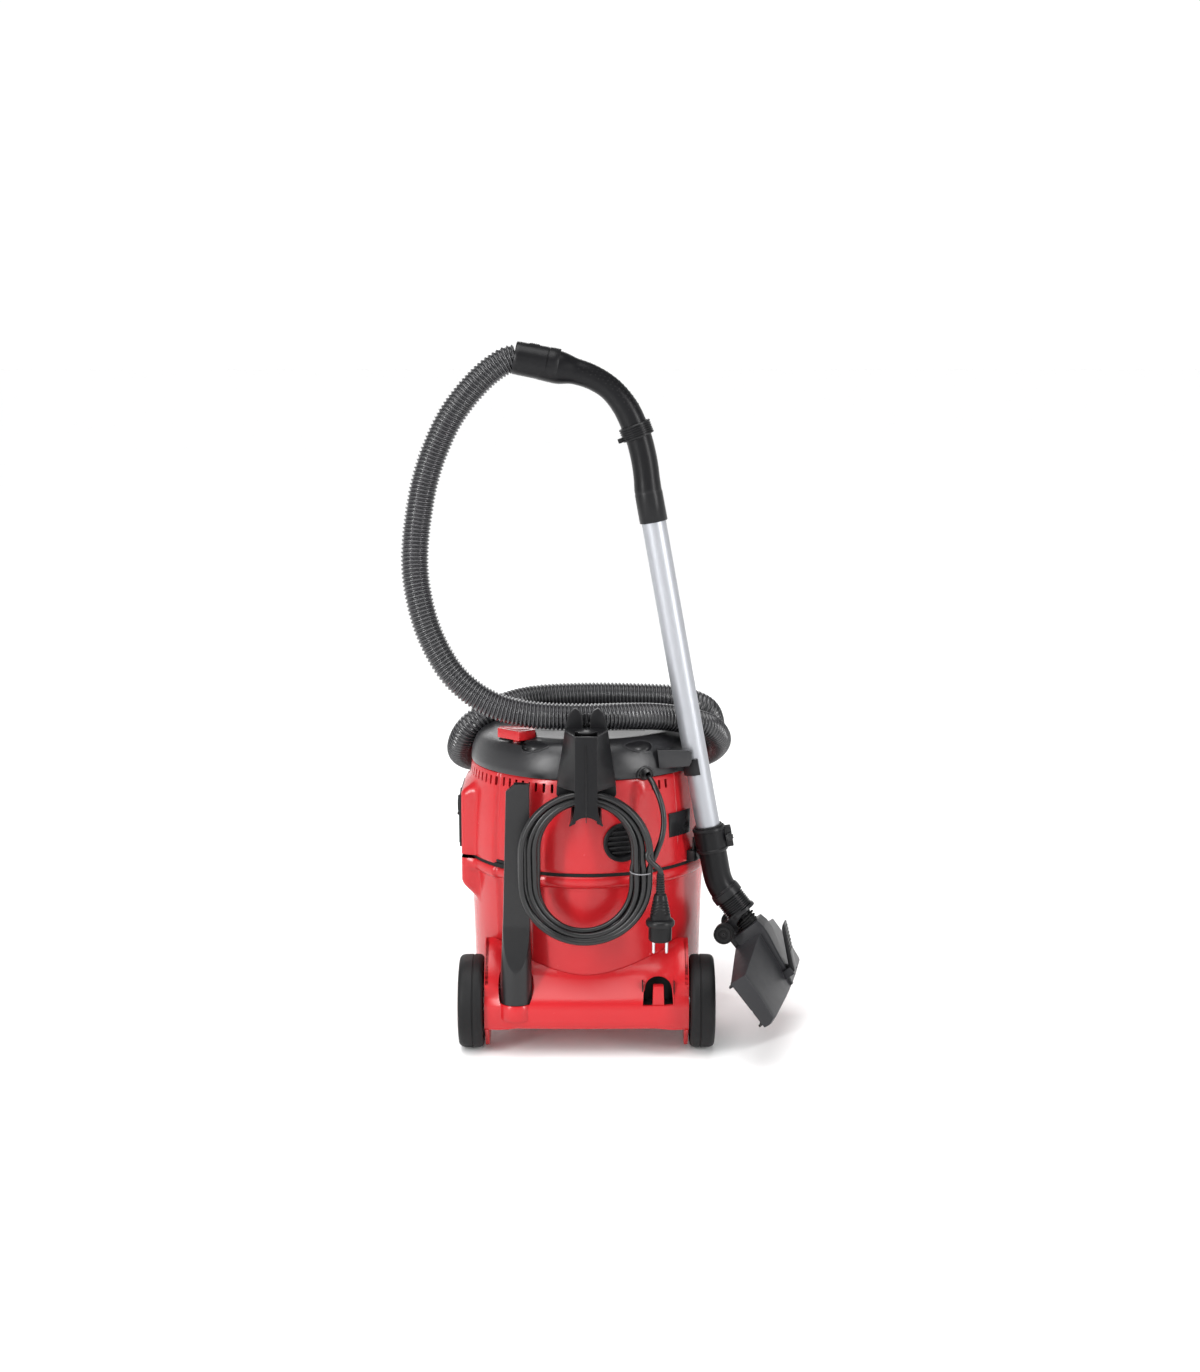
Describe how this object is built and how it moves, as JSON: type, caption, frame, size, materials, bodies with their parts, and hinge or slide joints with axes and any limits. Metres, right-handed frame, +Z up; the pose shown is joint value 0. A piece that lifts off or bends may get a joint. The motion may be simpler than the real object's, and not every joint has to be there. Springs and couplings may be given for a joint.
{
  "type": "shop vacuum",
  "caption": "Wheeled shop vacuum with a lift-off motor head, coiled mains cord, wound suction hose, parked wand with floor nozzle and a crevice nozzle",
  "frame": {"origin": "middle of the footprint's box, on the floor that the wheels stand on; the machine's own axis stands at x = -0.071 m, y = 0.046 m", "axes": "+Z up; -Y towards the machine's rear, where the wheels, the cord bracket and the tool holders are; +X towards the side where the wand is parked"},
  "size_m": [0.617, 0.5742, 1.0547],
  "materials": {
    "red_plastic": "satin injection-moulded plastic",
    "black_plastic": "fine-grained moulded plastic",
    "grey_plastic": "fine-grained moulded plastic",
    "tyre_rubber": "matt",
    "hose_plastic": "ribbed, slightly shiny",
    "cord_rubber": "smooth satin jacket",
    "steel": "zinc plated",
    "tube_metal": "silver painted steel tube",
    "filter_paper": "pleated filter medium",
    "tie_plastic": "thin strip"
  },
  "bodies": {
    "tank": {"tank_shell": "red_plastic", "chassis": "red_plastic", "stub_axles": "steel"},
    "left_wheel": {"left_tyre": "tyre_rubber", "left_wheel_rim": "grey_plastic"},
    "right_wheel": {"right_tyre": "tyre_rubber", "right_wheel_rim": "grey_plastic"},
    "left_caster": {"left_caster_fork": "grey_plastic"},
    "left_caster_roll": {"left_caster_wheel": "tyre_rubber"},
    "right_caster": {"right_caster_fork": "grey_plastic"},
    "right_caster_roll": {"right_caster_wheel": "tyre_rubber"},
    "head": {"head_shell": "red_plastic", "head_base": "black_plastic", "rim_seal": "tyre_rubber", "top_cover": "grey_plastic", "cover_screws": "steel", "rear_bracket": "black_plastic", "cable_gland": "cord_rubber", "control_pod": "red_plastic", "control_panel": "black_plastic", "socket_insert": "black_plastic", "rating_plate": "black_plastic", "exhaust_grille": "black_plastic", "wand_clip": "grey_plastic", "wand_dock": "black_plastic", "hose_inlet": "black_plastic", "hose_connector": "black_plastic", "motor_housing": "grey_plastic", "filter_cage": "black_plastic", "filter_cartridge": "filter_paper", "latch_hinges": "black_plastic", "power_lead": "cord_rubber", "power_coil": "cord_rubber", "power_tail": "cord_rubber", "cord_tie": "tie_plastic", "mains_plug": "cord_rubber", "suction_hose": "hose_plastic", "button_spring": "steel"},
    "rotor": {"rotor": "steel"},
    "float": {"float_ball": "grey_plastic"},
    "selector": {"selector_knob": "grey_plastic"},
    "dial": {"power_dial": "grey_plastic"},
    "lid": {"socket_lid": "grey_plastic"},
    "clean_button": {"clean_button": "red_plastic"},
    "left_latch": {"left_latch": "black_plastic"},
    "right_latch": {"right_latch": "black_plastic"},
    "wand": {"wand_tube": "tube_metal", "handle_grip": "black_plastic", "hose_cuff": "black_plastic", "clamp_ring": "black_plastic", "clamp_screw": "steel", "neck_elbow": "black_plastic"},
    "cuff_button": {"cuff_button": "grey_plastic"},
    "relief_ring": {"relief_ring": "black_plastic"},
    "neck": {"neck_sleeve": "black_plastic"},
    "nozzle": {"nozzle_body": "grey_plastic"},
    "brushes": {"brush_strips": "black_plastic"},
    "pedal": {"nozzle_pedal": "grey_plastic"},
    "rollers": {"nozzle_wheels": "tyre_rubber"},
    "crevice": {"crevice_nozzle": "black_plastic"}
  },
  "joints": [
    {"name": "head_lift", "type": "slide", "parent": "tank", "child": "head", "axis": [0, 0, 1], "range_m": [0, 0.25]},
    {"name": "left_wheel_spin", "type": "hinge", "parent": "tank", "child": "left_wheel", "pos_m": [-0.241, -0.094, 0.07], "axis": [1, 0, 0], "continuous": true},
    {"name": "right_wheel_spin", "type": "hinge", "parent": "tank", "child": "right_wheel", "pos_m": [0.099, -0.094, 0.07], "axis": [1, 0, 0], "continuous": true},
    {"name": "left_caster_swivel", "type": "hinge", "parent": "tank", "child": "left_caster", "pos_m": [-0.171, 0.161, 0.06], "axis": [0, 0, 1], "continuous": true},
    {"name": "left_caster_spin", "type": "hinge", "parent": "left_caster", "child": "left_caster_roll", "pos_m": [-0.171, 0.143, 0.022], "axis": [1, 0, 0], "continuous": true},
    {"name": "right_caster_swivel", "type": "hinge", "parent": "tank", "child": "right_caster", "pos_m": [0.029, 0.161, 0.06], "axis": [0, 0, 1], "continuous": true},
    {"name": "right_caster_spin", "type": "hinge", "parent": "right_caster", "child": "right_caster_roll", "pos_m": [0.029, 0.143, 0.022], "axis": [1, 0, 0], "continuous": true},
    {"name": "rotor_spin", "type": "hinge", "parent": "head", "child": "rotor", "pos_m": [-0.071, 0.046, 0.35], "axis": [0, 0, 1], "continuous": true},
    {"name": "float_rise", "type": "slide", "parent": "head", "child": "float", "axis": [0, 0, 1], "range_m": [0, 0.036]},
    {"name": "selector_turn", "type": "hinge", "parent": "head", "child": "selector", "pos_m": [-0.266, 0.018, 0.35], "axis": [-1, 0, 0], "range_deg": [0, 120]},
    {"name": "dial_turn", "type": "hinge", "parent": "head", "child": "dial", "pos_m": [-0.266, 0.074, 0.35], "axis": [-1, 0, 0], "range_deg": [-135, 135]},
    {"name": "lid_open", "type": "hinge", "parent": "head", "child": "lid", "pos_m": [-0.2692, 0.046, 0.333], "axis": [0, 1, 0], "range_deg": [0, 120], "stiffness_Nm_per_rad": 0.02},
    {"name": "clean_press", "type": "slide", "parent": "head", "child": "clean_button", "axis": [0, 0, -1], "range_m": [0, 0.006], "stiffness_N_per_m": 600, "deforming": ["button_spring"]},
    {"name": "left_latch_open", "type": "hinge", "parent": "head", "child": "left_latch", "pos_m": [-0.22114, 0.17199, 0.301], "axis": [0.6428, 0.766, 0], "range_deg": [0, 70]},
    {"name": "right_latch_open", "type": "hinge", "parent": "head", "child": "right_latch", "pos_m": [0.07914, 0.17199, 0.301], "axis": [0.6428, -0.766, 0], "range_deg": [0, 70]},
    {"name": "wand_lift", "type": "slide", "parent": "head", "child": "wand", "axis": [-0.1801, 0, 0.9837], "range_m": [0, 0.03], "deforming": ["suction_hose"]},
    {"name": "cuff_button_press", "type": "slide", "parent": "wand", "child": "cuff_button", "axis": [-0.1908, 0, -0.9816], "range_m": [0, 0.0015], "stiffness_N_per_m": 400},
    {"name": "relief_ring_turn", "type": "hinge", "parent": "wand", "child": "relief_ring", "pos_m": [0.002, -0.069, 0.9266], "axis": [-0.3584, 0, 0.9336], "range_deg": [0, 90]},
    {"name": "neck_swivel", "type": "hinge", "parent": "wand", "child": "neck", "pos_m": [0.128, -0.069, 0.247], "axis": [0.6146, -0.1351, -0.7771], "range_deg": [-12, 12]},
    {"name": "nozzle_tilt", "type": "hinge", "parent": "neck", "child": "nozzle", "pos_m": [0.14267, -0.07223, 0.17872], "axis": [0.2147, 0.9767, 0], "range_deg": [-20, 8]},
    {"name": "roller_spin", "type": "hinge", "parent": "nozzle", "child": "rollers", "pos_m": [0.14267, -0.07223, 0.17872], "axis": [0.2147, 0.9767, 0], "continuous": true},
    {"name": "pedal_press", "type": "hinge", "parent": "nozzle", "child": "pedal", "pos_m": [0.23942, -0.0935, 0.11996], "axis": [-0.2147, -0.9767, 0], "range_deg": [0, 12]},
    {"name": "brush_retract", "type": "slide", "parent": "nozzle", "child": "brushes", "axis": [0.759, -0.1669, 0.6293], "range_m": [0, 0.004]},
    {"name": "crevice_pull", "type": "slide", "parent": "tank", "child": "crevice", "axis": [0, 0, 1], "range_m": [0, 0.1]}
  ],
  "couplings": [
    {"joint": "brush_retract", "follows": "pedal_press", "m_per_rad": 0.018335}
  ]
}
